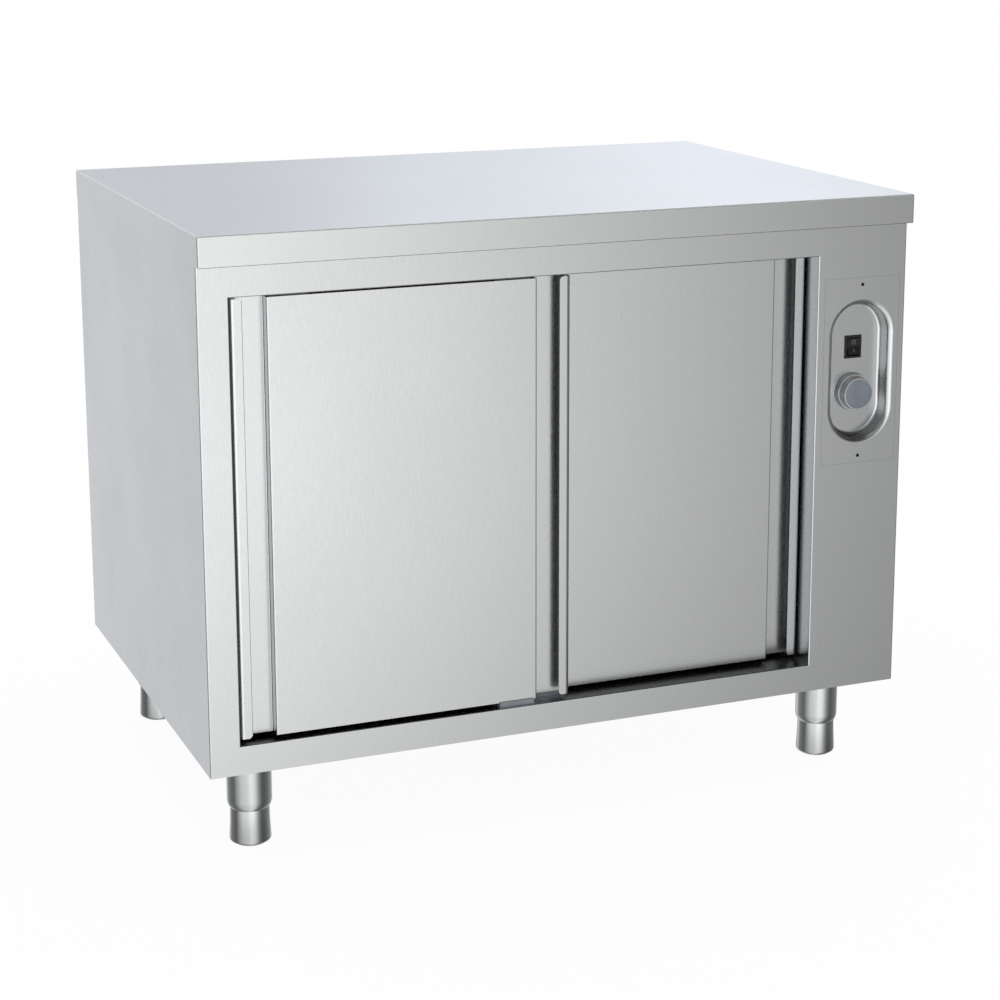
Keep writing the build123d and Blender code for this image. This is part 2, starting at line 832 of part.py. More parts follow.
# ================================================================ switch
def switch_housing():
    """Bezel and body of the rocker switch, open at the front."""
    half_w = switch_width / 2
    half_h = switch_height / 2
    body_w = switch_body_width / 2
    body_h = switch_body_height / 2
    x = panel_centre_x
    bezel = block((x - half_w, x + half_w), (bezel_face, recess_floor),
                  (switch_z - half_h, switch_z + half_h))
    bezel = chamfer(bezel.faces().sort_by(Axis.Y)[0].edges(), bezel_edge)
    body = block((x - body_w, x + body_w), (recess_floor, bezel_face + switch_body_depth),
                 (switch_z - body_h, switch_z + body_h))
    cavity_w = rocker_width / 2 + touch
    cavity_h = body_h - sheet / 2
    cavity = block((x - cavity_w, x + cavity_w), (bezel_face - 1, bezel_face + switch_well),
                   (switch_z - cavity_h, switch_z + cavity_h))
    pin_hole = x_cylinder(bezel_face + rocker_pivot_depth, switch_z,
                          rocker_pin_radius + running_fit, x - body_w - 1, x + body_w + 1)
    return bezel + body - cavity - pin_hole


def rocker():
    """The rocker, tilted with its lower half out, on two short pins."""
    high = rocker_half_height
    outline = make_face(Polyline(
        (-rocker_end, high), (-rocker_waist, 0), (-rocker_end, -high), (-rocker_shoulder, -high),
        (rocker_keel, -rocker_keel_half), (rocker_keel, rocker_keel_half),
        (-rocker_shoulder, high), close=True))
    half = rocker_width / 2
    shape = extrude(Plane.YZ.offset(-half) * outline, rocker_width)
    ends = edges_at(shape, Axis.X, y=-rocker_end)
    shape = fillet(ends, rocker_edge)
    pin_end = switch_body_width / 2
    shape += x_cylinder(0, 0, rocker_pin_radius, -pin_end, pin_end)
    return Pos(panel_centre_x, bezel_face + rocker_pivot_depth, switch_z) \
        * Rot(-rocker_tilt, 0, 0) * shape


# ================================================================ thermostat
def knob():
    """Thermostat knob: flat face, tapered body, a narrow shoulder and a flared skirt."""
    base = knob_gap
    shoulder = base + knob_shoulder
    face = base + knob_height
    outline = Polyline(
        (0, base), (knob_skirt_radius, base), (knob_shoulder_radius, shoulder - knob_shoulder_edge),
        (knob_shoulder_radius - knob_shoulder_edge, shoulder), (knob_body_radius, shoulder),
        (knob_face_radius, face - knob_edge), (knob_face_radius - knob_edge, face), (0, face),
        close=True)
    body = revolve(Plane.XZ * make_face(outline), Axis.Z)
    body -= z_cylinder(0, 0, shaft_radius, base - 1, knob_bore)
    return Pos(panel_centre_x, recess_floor, knob_z) * Rot(90, 0, 0) * body


def thermostat_shaft():
    """The spindle from the thermostat into the knob."""
    back = recess_floor + sheet + shaft_seat
    return y_cylinder(panel_centre_x, knob_z, shaft_radius, recess_floor - knob_bore, back)


def thermostat_body():
    """The thermostat's case behind the recess floor, with its spindle bore and terminals."""
    half = thermostat_size / 2
    front = recess_floor + sheet
    back = front + thermostat_depth
    case = block((panel_centre_x - half, panel_centre_x + half), (front, back),
                 (knob_z - half, knob_z + half))
    case = chamfer(edges_at(case, Axis.Y, x=panel_centre_x - half)
                   + edges_at(case, Axis.Y, x=panel_centre_x + half), thermostat_chamfer)
    case -= y_cylinder(panel_centre_x, knob_z, shaft_radius + running_fit, front - 1,
                       front + shaft_seat + 1)
    for x in (panel_centre_x - tab_offset, panel_centre_x + tab_offset):
        case += block((x - tab_width / 2, x + tab_width / 2), (back, back + tab_length),
                      (knob_z - tab_sheet / 2, knob_z + tab_sheet / 2))
    return case


def thermostat_probe():
    """Bulb clipped flat on the bay side of the partition, with its capillary tube."""
    x = opening_right + liner_sheet + bulb_radius
    y = fan_y - duct_width / 2 - bulb_from_duct
    bulb_top = knob_z + bulb_length / 2
    bulb = z_cylinder(x, y, bulb_radius, bulb_top - bulb_length, bulb_top)
    rear = recess_floor + sheet + thermostat_depth
    loop = bulb_top + capillary_rise
    entry = knob_z + capillary_entry
    route = FilletPolyline((x, y, bulb_top - 1), (x, y, loop), (panel_centre_x, y, loop),
                           (panel_centre_x, y, entry), (panel_centre_x, rear, entry),
                           radius=capillary_bend)
    start = Plane(origin=route @ 0, z_dir=route % 0)
    probe = bulb + sweep(start * Circle(capillary_radius), path=route)
    for z in (bulb_top - 0.2 * bulb_length, bulb_top - 0.8 * bulb_length):
        probe += block((opening_right + liner_sheet, x + bulb_radius + sheet),
                       (y - bulb_clip / 2, y + bulb_clip / 2), (z - bulb_clip / 2, z + bulb_clip / 2))
    return probe


# ================================================================ fan, heater, duct
def fan_frame():
    """Square axial fan frame with its motor hub on three struts."""
    half = fan_size / 2
    x = (opening_right + liner_sheet, opening_right + liner_sheet + fan_depth)
    frame = block(x, (fan_y - half, fan_y + half), (fan_z - half, fan_z + half))
    frame = fillet(edges_at(frame, Axis.X), fan_corner)
    frame -= x_cylinder(fan_y, fan_z, fan_bore_radius, x[0] - 1, x[1] + 1)
    hub = x_cylinder(fan_y, fan_z, fan_hub_radius, x[1] - fan_motor_depth, x[1])
    reach = (fan_hub_radius - fan_strut_root, fan_bore_radius + fan_strut_root)
    strut = block((x[1] - fan_strut_depth, x[1]), reach, (-fan_strut / 2, fan_strut / 2))
    for angle in (90, 210, 330):
        hub += Pos(0, fan_y, fan_z) * Rot(angle, 0, 0) * strut
    bore = x_cylinder(fan_y, fan_z, fan_shaft_radius + running_fit, x[0], x[1] + 1)
    return frame + hub - bore


def fan_wheel():
    """Hub, shaft and pitched blades of the fan."""
    left = opening_right + liner_sheet + fan_face_gap
    right = opening_right + liner_sheet + fan_depth - fan_motor_depth - 1
    wheel = x_cylinder(0, 0, fan_hub_radius, left, right)
    wheel = fillet(wheel.edges().filter_by(GeomType.CIRCLE).sort_by(Axis.X)[0], fan_hub_edge)
    tip = fan_bore_radius - fan_tip_gap
    half = fan_blade_chord / 2
    blade = block((-half, half), (fan_hub_radius - fan_hub_edge, tip + fan_tip_gap),
                  (0, fan_blade_sheet))
    blade = Pos((left + right) / 2, 0, 0) * Rot(0, fan_blade_pitch, 0) * blade
    for index in range(fan_blades):
        wheel += Rot(index * 360 / fan_blades, 0, 0) * blade
    wheel &= x_cylinder(0, 0, tip, left, right)
    wheel += x_cylinder(0, 0, fan_shaft_radius, right - 1, right + fan_motor_depth)
    return Pos(0, fan_y, fan_z) * wheel


def element_ends():
    """Y positions of the heating element's upright runs."""
    return [fan_y + (index - 1.5) * element_leg_pitch for index in range(4)]


def heating_element():
    """Tubular element bent to and fro across the duct, its ends out through the duct wall."""
    wall = opening_right + liner_sheet + duct_depth
    x = opening_right + liner_sheet + duct_depth / 2
    runs = element_ends()
    outside = wall + element_tail
    loop = element_top - element_step
    route = FilletPolyline(
        (outside, runs[0], element_top), (x, runs[0], element_top),
        (x, runs[0], element_bottom), (x, runs[1], element_bottom),
        (x, runs[1], loop), (x, runs[2], loop),
        (x, runs[2], element_bottom), (x, runs[3], element_bottom),
        (x, runs[3], element_top), (outside, runs[3], element_top), radius=element_bend)
    start = Plane(origin=route @ 0, z_dir=route % 0)
    return sweep(start * Circle(element_radius), path=route)


def air_duct():
    """Cover that leads the fan's air down over the element and out of the lower slots."""
    left = opening_right + liner_sheet
    duct = pan((left, left + duct_depth), (fan_y - duct_width / 2, fan_y + duct_width / 2),
               (duct_bottom, duct_top), "+X", liner_sheet)
    for y in (element_ends()[0], element_ends()[3]):
        duct -= x_cylinder(y, element_top, element_radius, left + duct_depth - 2 * liner_sheet,
                           left + duct_depth + liner_sheet)
    return duct


# ================================================================ cable entry
def hexagon_bar(low, high, across):
    """An upright hexagonal bar at the cable entry."""
    profile = RegularPolygon(across / 2, 6, major_radius=False)
    return Pos(panel_centre_x, gland_y, low) * extrude(profile, high - low)


def cable_gland():
    """Cable gland through the base panel, its domed nut below."""
    top = base_top - sheet
    seat = top - gland_hex_length
    bottom = top - gland_length
    end = top + gland_thread
    shell = hexagon_bar(seat, top, gland_hex)
    dome = z_cylinder(panel_centre_x, gland_y, gland_hex / 2 - 1, bottom, seat)
    shell += chamfer(dome.edges().filter_by(GeomType.CIRCLE).sort_by(Axis.Z)[0], gland_dome_edge)
    shell += z_cylinder(panel_centre_x, gland_y, gland_thread_radius, seat, end)
    return shell - z_cylinder(panel_centre_x, gland_y, gland_radius, bottom - 1, end + 1)


def gland_nut():
    """Lock nut of the gland, inside the bay."""
    top = base_top + gland_nut_height
    nut = hexagon_bar(base_top, top, gland_hex)
    return nut - z_cylinder(panel_centre_x, gland_y, gland_thread_radius, base_top - 1, top + 1)


def terminal_block():
    """Three-way terminal block on the base of the bay."""
    centre_y = gland_y - terminal_pitch
    half = terminal_width / 2
    base = block((panel_centre_x - half, panel_centre_x + half),
                 (centre_y - terminal_depth / 2, centre_y + terminal_depth / 2),
                 (base_top, base_top + terminal_height))
    for index in (-1, 0, 1):
        x = panel_centre_x + index * terminal_width / 3
        base -= z_cylinder(x, centre_y, terminal_well_radius, base_top + terminal_well_floor,
                           base_top + terminal_height + 1)
    return base


# ================================================================ legs
def leg_sleeve(place):
    """Fixed leg tube with a turned-in lower end, a threaded boss and its bolting plate."""
    x, y = place
    top = base_top - sheet
    inner = sleeve_radius - sleeve_wall
    mouth = foot_radius + foot_play
    tube = z_cylinder(x, y, sleeve_radius, sleeve_bottom, top - leg_plate_thickness)
    tube = fillet(tube.edges().filter_by(GeomType.CIRCLE).sort_by(Axis.Z)[0], sleeve_round)
    tube -= z_cylinder(x, y, inner, sleeve_bottom + sleeve_round, top)
    tube -= z_cylinder(x, y, mouth, sleeve_bottom - 1, top)
    half = leg_plate / 2
    plate = block((x - half, x + half), (y - half, y + half), (top - leg_plate_thickness, top))
    plate = fillet(edges_at(plate, Axis.Z), leg_plate_corner)
    plate += z_cylinder(x, y, boss_radius, top - leg_plate_thickness - boss_length, top)
    tube += plate
    return tube - z_cylinder(x, y, stem_radius + running_fit, sleeve_bottom, top + 1)


def foot(place):
    """Adjustable foot: rounded cap, hollow barrel and the stem that screws into the boss."""
    cap = foot_cap_radius
    inner = foot_radius - foot_wall
    body = turned([(0, 0), (cap, 0), (cap, foot_cap_height), (foot_radius, foot_cap_height),
                   (foot_radius, foot_top), (inner, foot_top), (inner, foot_floor),
                   (stem_radius, foot_floor), (stem_radius, stem_top), (0, stem_top)], (0, 0, 0))
    low = [e for e in body.edges().filter_by(GeomType.CIRCLE) if abs((e @ 0.5).Z) < 0.01]
    body = fillet(low, foot_cap_round)
    return Pos(place[0], place[1], 0) * body


# ================================================================ assembly
def door_nodes(side, x, y):
    """All the pieces of one door."""
    nodes = {
        f"{side}_door_skin": door_skin(x, y),
        f"{side}_door_back": door_back(x, y),
        f"{side}_door_core": door_core(x, y),
        f"{side}_door_hangers": door_hangers(x, y),
        f"{side}_door_axles": door_axles(x, y),
    }
    for name, left in zip(("left", "right"), hanger_lefts(x)):
        nodes[f"{side}_door_wheels_{name}"] = wheel_pair(left, y)
    return nodes


def build():
    """Every node of the cabinet by name."""
    nodes = {
        "worktop": worktop(),
        "worktop_board": worktop_board(),
        "worktop_stiffeners": worktop_stiffeners(),
        "front_frame": front_frame(),
        "side_panel_left": side_panel(-1),
        "side_panel_right": side_panel(1),
        "back_panel": back_panel(),
        "base_panel": base_panel(),
        "liner_left": liner_left(),
        "liner_back": liner_back_wall(),
        "liner_ceiling": liner_ceiling(),
        "cupboard_floor": cupboard_floor(),
        "partition": partition(),
        "shelf": shelf(),
        "shelf_supports": shelf_supports(),
        "door_track": door_track(),
        "track_stops": track_stops(),
        "door_guide": door_guide(),
        "control_panel": control_panel(),
        "panel_brackets": panel_brackets(),
        "panel_screws": panel_screws(),
        "switch_housing": switch_housing(),
        "switch_rocker": rocker(),
        "thermostat_knob": knob(),
        "thermostat_shaft": thermostat_shaft(),
        "thermostat_body": thermostat_body(),
        "thermostat_probe": thermostat_probe(),
        "fan_frame": fan_frame(),
        "fan_wheel": fan_wheel(),
        "heating_element": heating_element(),
        "air_duct": air_duct(),
        "cable_gland": cable_gland(),
        "gland_nut": gland_nut(),
        "terminal_block": terminal_block(),
    }
    nodes.update(insulation())
    nodes.update(door_nodes("left", left_door_x, front_door_y))
    nodes.update(door_nodes("right", right_door_x, rear_door_y))
    for name, place in leg_places().items():
        nodes[f"leg_sleeve_{name}"] = leg_sleeve(place)
        nodes[f"foot_{name}"] = foot(place)
    return nodes


os.makedirs("parts", exist_ok=True)
for node, shape in build().items():
    solids = shape if isinstance(shape, list) else [shape]
    compound = Compound(children=[solid for part in solids for solid in part.solids()])
    export_step(compound, f"parts/{node}.step")
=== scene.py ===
import json
import math

import bmesh
import bpy
from mathutils import Matrix, Vector


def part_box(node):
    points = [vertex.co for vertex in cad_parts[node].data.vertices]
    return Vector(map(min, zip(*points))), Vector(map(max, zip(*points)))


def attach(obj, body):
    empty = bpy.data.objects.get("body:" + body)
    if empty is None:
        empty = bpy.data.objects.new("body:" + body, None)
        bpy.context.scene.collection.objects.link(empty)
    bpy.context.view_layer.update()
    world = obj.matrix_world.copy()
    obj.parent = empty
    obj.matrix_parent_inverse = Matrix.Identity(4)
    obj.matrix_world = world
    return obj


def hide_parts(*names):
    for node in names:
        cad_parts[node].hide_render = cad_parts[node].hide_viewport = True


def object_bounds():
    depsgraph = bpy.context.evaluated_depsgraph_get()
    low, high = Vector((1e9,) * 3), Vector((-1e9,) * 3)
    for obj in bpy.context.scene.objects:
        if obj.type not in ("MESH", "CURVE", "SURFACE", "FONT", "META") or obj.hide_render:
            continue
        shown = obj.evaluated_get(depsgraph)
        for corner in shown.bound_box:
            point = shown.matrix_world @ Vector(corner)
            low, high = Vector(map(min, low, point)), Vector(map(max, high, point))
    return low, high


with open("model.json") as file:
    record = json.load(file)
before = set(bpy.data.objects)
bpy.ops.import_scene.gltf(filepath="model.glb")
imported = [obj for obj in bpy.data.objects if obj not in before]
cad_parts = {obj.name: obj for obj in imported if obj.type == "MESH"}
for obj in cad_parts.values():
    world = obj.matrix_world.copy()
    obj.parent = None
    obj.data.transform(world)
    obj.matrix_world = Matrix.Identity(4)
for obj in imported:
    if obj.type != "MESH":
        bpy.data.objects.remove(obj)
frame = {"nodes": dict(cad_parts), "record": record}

# Plate warmer cabinet in stainless steel, dressed for the camera. Metres, in the CAD frame:
# the origin is on the floor under the middle of the worktop, +X is to the right of a person
# who faces the doors, +Y is towards the back and +Z is up.

cad_low, cad_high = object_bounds()
nodes = frame["nodes"]
legs = ("front_left", "front_right", "rear_left", "rear_right")

# ---------------------------------------------------------------- camera
camera_place = (-1.1958, -3.0747, 1.2529)
camera_heading = -22.48         # degrees from +Y
camera_drop = 12.388            # degrees below level
camera_sensor = 36              # mm
camera_lens = 84.27             # mm
camera_shift = (-0.02882, -0.11323)

# ---------------------------------------------------------------- colours (linear)
sheet_colour = (0.785, 0.80, 0.795, 1)
liner_colour = (0.70, 0.71, 0.71, 1)
leg_colour = (0.75, 0.77, 0.76, 1)
zinc_colour = (0.56, 0.57, 0.59, 1)
track_colour = (0.66, 0.67, 0.68, 1)
copper_colour = (0.76, 0.40, 0.25, 1)
casting_colour = (0.10, 0.10, 0.11, 1)
element_colour = (0.20, 0.18, 0.17, 1)
knob_colour = (0.84, 0.85, 0.87, 1)
disc_colour = (0.175, 0.20, 0.23, 1)
screw_colour = (0.01, 0.01, 0.01, 1)
black_colour = (0.012, 0.012, 0.012, 1)
fan_colour = (0.02, 0.02, 0.02, 1)
mark_colour = (0.16, 0.16, 0.16, 1)
guide_colour = (0.22, 0.24, 0.265, 1)
wheel_colour = (0.72, 0.72, 0.69, 1)
cream_colour = (0.60, 0.54, 0.42, 1)
board_colours = ((0.30, 0.20, 0.11, 1), (0.46, 0.34, 0.21, 1))
wool_colours = ((0.52, 0.46, 0.26, 1), (0.36, 0.31, 0.18, 1))
rubber_colours = ((0.018, 0.018, 0.018, 1), (0.03, 0.03, 0.03, 1))
door_painted_lift = 1.035              # the doors' sheet against the rest: painted lighter, against the shade on the recessed doors
foot_painted_shade = 0.88               # the feet against the tubes: the same steel, painted darker as shade low down by the floor

# ---------------------------------------------------------------- textures
grain_along = 70.0              # scales, in cycles per metre
grain_across = 1500.0
sparkle_scale = (900.0, 900.0, 900.0)
polish_scale = (5.0, 5.0, 5.0)
casting_scale = (90.0, 90.0, 90.0)
moulding_scale = (60.0, 60.0, 60.0)
pebble_scale = (1400.0, 1400.0, 1400.0)
board_scale = (160.0, 160.0, 160.0)
wool_scale = (300.0, 300.0, 60.0)
rubber_scale = (400.0, 400.0, 400.0)
turning_scale = 2500.0          # along the radius
grain_depth = 0.000004          # depths of relief, in metres
turning_depth = 0.000004
casting_depth = 0.00001
pebble_depth = 0.00002
rubber_depth = 0.00005
board_depth = 0.0002
wool_depth = 0.001
sparkle_tones = (0.96, 1.04)    # tones, as shares of a material's colour
streak_tone = 0.93
moulded_tones = (0.92, 1.08)
cast_tones = (0.88, 1.08)
turned_tones = (0.94, 1.04)
streak_strength = 0.35          # how far the strongest lines go to the streaks' tone
sheet_roughness = 0.26
tube_roughness = 0.22
grain_play = 0.03               # how far roughness strays from its middle
polish_play = 0.015
moulded_play = 0.04
cast_play = 0.05
turned_play = 0.03
edge_wear = 1.9                 # how much duller the worktop's upper bends are
noise_span = (0.3, 0.7)         # where most of a noise's values lie

# ---------------------------------------------------------------- knob and switch
knob_skirt = 0.0266             # the knob's radii: skirt, waist and face
knob_waist = 0.0236
knob_face = 0.0224
knob_step = 0.0074              # height of the skirt
skirt_taper = 0.0012
skirt_edge = (0.0003, 0.0004)   # bevels: across, and along the axis
waist_edge = (0.0002, 0.0003)
face_edge = ((0, 0.0012), (0.0002, 0.0005), (0.0007, 0))    # in and down from the rim
knob_bore = 0.0115              # depth of the shaft's hole
shaft_radius = 0.003
disc_radius = 0.0208
disc_sunk = 0.0002
disc_proud = 0.00015
rocker_pivot = (0.432, -0.3075, 0.6126)
rocker_tilt = -6                # degrees about X, lower half out
rocker_end = (-0.0095, 0.0116)  # a rocker's end and waist, before and above its pivot
rocker_waist = (-0.0073, 0.0)
mark_height = 0.00012
mark_line = 0.0009
ring_radius = 0.0032            # the O on the upper half
bar_length = 0.005              # the I on the lower half

# ---------------------------------------------------------------- screws and bolts
back_screws = 5
back_screw_inset = 0.006
back_screw_end = 0.03           # first and last screw from the panel's ends
screw_radius = 0.0034
screw_height = 0.0012
screw_dome = ((0.62, 1), (0.84, 0.82), (0.96, 0.5), (1, 0), (1, -0.2))  # of radius and height
socket_apothem = 0.0012
socket_floor = 0.3              # of the head's height
bolt_inset = 0.012
bolt_apothem = 0.005
bolt_height = 0.004
bolt_chamfer = (0.03, 0.12)     # across and along, of the apothem
washer_radius = 0.008
washer_thickness = 0.0012
washer_chamfer = 0.2            # of its thickness

# ---------------------------------------------------------------- legs
leg_plate = 0.003
plate_corner = 1.359            # how far a plate's corner reaches, when its side is 1
sleeve_wall = 0.0015
sleeve_end = 0.0497             # height of the sleeve's turned-in lower end
sleeve_curve = (0.0066, 0.0133) # half-axes of that end's curve, across and along
sleeve_turn = 60                # degrees of it
sleeve_mouth = 0.02645
sleeve_rim = 0.00012            # metal left at the curve's tip
sleeve_inside = (0.006, 0.003, 0.0003)  # heights above that end where the inside bends
boss_radius = 0.014
boss_length = 0.070
stem_radius = 0.008
stem_play = 0.0005
foot_radius = 0.0254            # inside the sleeve
foot_shoulder = 0.004           # from there down to the neck
foot_neck = (0.0260, 0.0490)    # radius and height where the flare starts
foot_middle = (0.0263, 0.0340)
foot_flare = (0.0277, 0.0060)
foot_round = 0.0045
foot_sole = 0.001               # from the rounding in to the flat sole's edge
foot_floor = 0.050
foot_top = 0.095
foot_wall = 0.002

# ---------------------------------------------------------------- doors, guide and worktop
grip_lip = 0.0154               # a door's edge to the free edge of its grip's lip
hem_radius = 0.00095
hem_end = 0.0025                # hem's ends from the door's
hem_set = (0.2, 0.97)           # hem beyond the lip and behind its face, of its radius
hem_tip = (0.6, 0.5)            # rounding of its ends: radius left, and length
guide_shift = 0.0044            # to the left of the CAD block
guide_base = 0.005
guide_rib = 0.0013
guide_lip = 0.0075
guide_back_rib = 0.002
guide_play = 0.0006
guide_step = 0.0025
guide_end = 0.0                 # where the rib between the doors ends
guide_edge = 0.0003
shadow_line_bead = (0.0020, 0.0006)    # depth and height of the black strip under the worktop's front, a painted shadow line
shadow_line_inset = 0.0003
shadow_line_sunk = 0.25                # how far it reaches into the worktop, of its height
shadow_line_round = 1 / 3              # its edges' rounding, of its height

# ---------------------------------------------------------------- meshes
merge_distance = 1e-7
smooth_angle = 32               # degrees, past which an edge stays sharp
fine_steps = 96                 # sides of a turned piece
plain_steps = 64
mark_steps = 48
hem_steps = 32
screw_steps = 24
sleeve_steps = 12               # steps in a profile's curve
foot_steps = 6

# ---------------------------------------------------------------- studio
# Walls as the metal sees them: degrees round from the front (+ is towards the right),
# brightness, and how blue the wall is from 0 to 1.
studio_walls = (
    (-90, 0.27, 0.4), (-79, 0.53, 0.2), (-57, 0.95, 0.0), (-30, 1.10, 0.0), (-9, 1.48, 0.0),
    (3, 1.33, 0.0), (13, 1.10, 0.0), (24, 0.62, 0.0), (33, 0.37, 0.0), (44, 0.19, 0.0),
    (58, 0.13, 0.0), (76, 0.20, 0.2), (91, 0.27, 0.5), (109, 0.44, 0.8), (130, 0.68, 1.0),
    (150, 1.02, 1.0), (160, 0.87, 1.0), (168, 0.68, 0.8), (194, 0.835, 0.5), (214, 0.30, 0.4),
    (234, 0.20, 0.4), (256, 0.14, 0.4))
wall_blue = (-0.03, 0.08)       # what the bluest wall gains in red and in blue, as shares
studio_radius = 9.0
studio_segments = (48, 24)
# Levels: where along an axis, as a share of the radius, and how bright there, at two ends.
front_floor = ((-0.372, 0.62), (-0.25, 1.0))    # upward
front_ceiling = ((0.04, 1.0), (0.34, 0.20))
back_floor = ((-0.05, 0.65), (0.12, 1.0))
left_wall = ((-0.15, 1.0), (0.0, 0.0))          # to the right
turned_back = ((-0.2, 0.0), (0.1, 1.0))         # backward
second_bounce = 0.59            # share left of light that comes by way of one more surface
bounce_steepness = 1.5          # how fast that share falls with each one more
last_bounce = 0.12              # the least share, after many
bounce_tint = (1.0, 1.0, 1.06, 1.0)     # such light's colour beside light reflected once
floor_half = 30
floor_drop = 0.0002             # below the feet
floor_colour = (0.95, 0.95, 0.95, 1)
floor_white = 0.95              # how much of the floor is white whatever shades it
world_colour = (1, 1, 1, 1)
world_seen = 1.0                # strength as the camera and the metal see it
world_light = 1.0               # strength as light on the object


# ================================================================ camera
def make_camera():
    """The camera of the photograph, and the scene's active one."""
    data = bpy.data.cameras.new("camera")
    data.sensor_width = camera_sensor
    data.lens = camera_lens
    data.shift_x, data.shift_y = camera_shift
    camera = bpy.data.objects.new("camera", data)
    camera.location = camera_place
    camera.rotation_euler = (math.radians(90 - camera_drop), 0, math.radians(camera_heading))
    bpy.context.scene.collection.objects.link(camera)
    bpy.context.scene.camera = camera


# ================================================================ node helpers
def new_material(name, **sockets):
    """A material with one Principled shader. Its constants go on the shader's own sockets."""
    material = bpy.data.materials.new(name)
    material.use_nodes = True
    shader = material.node_tree.nodes["Principled BSDF"]
    for socket, value in sockets.items():
        shader.inputs[socket.replace("_", " ")].default_value = value
    return material, material.node_tree, shader


def set_or_link(tree, socket, value):
    """Gives a socket a constant, or another node's output."""
    if isinstance(value, bpy.types.NodeSocket):
        tree.links.new(value, socket)
    else:
        socket.default_value = value


def calculate(tree, operation, *values):
    """A Math node's result; each value is a number or another node's output."""
    node = tree.nodes.new("ShaderNodeMath")
    node.operation = operation
    for socket, value in zip(node.inputs, values):
        set_or_link(tree, socket, value)
    return node.outputs[0]


def vector_step(tree, operation, first, second=(0, 0, 0)):
    """A Vector Math node; first is another node's output and second is a constant."""
    node = tree.nodes.new("ShaderNodeVectorMath")
    node.operation = operation
    node.inputs[1].default_value = second
    tree.links.new(first, node.inputs[0])
    return node


def noise(tree, scale, detail=2.0):
    """Noise over the piece's own coordinates, with its scale along X, Y and Z."""
    place = tree.nodes.new("ShaderNodeTexCoord")
    stretch = tree.nodes.new("ShaderNodeMapping")
    stretch.inputs["Scale"].default_value = scale
    texture = tree.nodes.new("ShaderNodeTexNoise")
    texture.inputs["Scale"].default_value = 1.0
    texture.inputs["Detail"].default_value = detail
    tree.links.new(place.outputs["Object"], stretch.inputs["Vector"])
    tree.links.new(stretch.outputs["Vector"], texture.inputs["Vector"])
    return texture.outputs["Fac"]


def map_range(tree, value, start, end):
    """A level that follows the value; start and end are each a value and the level there."""
    spread = tree.nodes.new("ShaderNodeMapRange")
    for name, (source, level) in (("Min", start), ("Max", end)):
        spread.inputs[f"From {name}"].default_value = source
        spread.inputs[f"To {name}"].default_value = level
    tree.links.new(value, spread.inputs["Value"])
    return spread.outputs["Result"]


def to_range(tree, pattern, low, high):
    """A noise pattern spread from low to high."""
    return map_range(tree, pattern, (noise_span[0], low), (noise_span[1], high))


def mixed(tree, share, first, second):
    """A colour between two, by a 0 to 1 pattern. Each is a colour or another node's output."""
    mix = tree.nodes.new("ShaderNodeMix")
    mix.data_type = "RGBA"
    tree.links.new(share, mix.inputs[0])
    colours = [socket for socket in mix.inputs if socket.type == "RGBA"]
    for socket, colour in zip(colours, (first, second)):
        set_or_link(tree, socket, colour)
    return next(socket for socket in mix.outputs if socket.type == "RGBA")


def scaled(colour, factor):
    """A colour made lighter or darker."""
    return (*(channel * factor for channel in colour[:3]), 1)


def vary(tree, shader, pattern, colour, tones, roughness, play):
    """Lets a pattern vary a shader's colour, between two tones of it, and its roughness."""
    dark, pale = (scaled(colour, tone) for tone in tones)
    tree.links.new(mixed(tree, to_range(tree, pattern, 0, 1), dark, pale),
                   shader.inputs["Base Color"])
    tree.links.new(to_range(tree, pattern, roughness - play, roughness + play),
                   shader.inputs["Roughness"])


def add_bump(tree, shader, height, depth):
    """Relief of that depth in metres."""
    bump = tree.nodes.new("ShaderNodeBump")
    bump.inputs["Distance"].default_value = depth
    tree.links.new(height, bump.inputs["Height"])
    tree.links.new(bump.outputs["Normal"], shader.inputs["Normal"])


# ================================================================ materials
def brushed_steel(name, colour, roughness, grain, metallic=1.0):
    """Satin sheet: fine lines along one axis, a finer sparkle, and slow cloudy polish."""
    material, tree, shader = new_material(name, Metallic=metallic)
    scales = [grain_along if axis == grain else grain_across for axis in "XYZ"]
    lines = noise(tree, scales, detail=3.0)
    sparkle = noise(tree, sparkle_scale, detail=1.0)
    dark, pale = (scaled(colour, tone) for tone in sparkle_tones)
    fine = mixed(tree, to_range(tree, sparkle, 0, 1), dark, pale)
    streaks = to_range(tree, lines, 0, streak_strength)
    streaked = mixed(tree, streaks, fine, scaled(colour, streak_tone))
    tree.links.new(streaked, shader.inputs["Base Color"])
    cloud = to_range(tree, noise(tree, polish_scale), roughness - polish_play,
                     roughness + polish_play)
    polish = calculate(tree, "ADD", cloud, to_range(tree, lines, -grain_play, grain_play))
    tree.links.new(polish, shader.inputs["Roughness"])
    add_bump(tree, shader, lines, grain_depth)
    return material


def worn_edges(material):
    """Makes a sheet's upper bends dull and pale, where hands and plates rub them."""
    tree = material.node_tree
    place = tree.nodes.new("ShaderNodeTexCoord")
    axes = tree.nodes.new("ShaderNodeSeparateXYZ")
    tree.links.new(place.outputs["Normal"], axes.inputs[0])
    up = axes.outputs["Z"]
    bent = calculate(tree, "MULTIPLY", up, calculate(tree, "SUBTRACT", 1, up))
    metallic = calculate(tree, "MULTIPLY_ADD", bent, -edge_wear, 1)
    metallic.node.use_clamp = True
    tree.links.new(metallic, tree.nodes["Principled BSDF"].inputs["Metallic"])
    return material


def moulded(name, colour, roughness):
    """Moulded plastic with a fine spark-eroded texture."""
    material, tree, shader = new_material(name)
    vary(tree, shader, noise(tree, moulding_scale), colour, moulded_tones, roughness,
         moulded_play)
    add_bump(tree, shader, noise(tree, pebble_scale), pebble_depth)
    return material


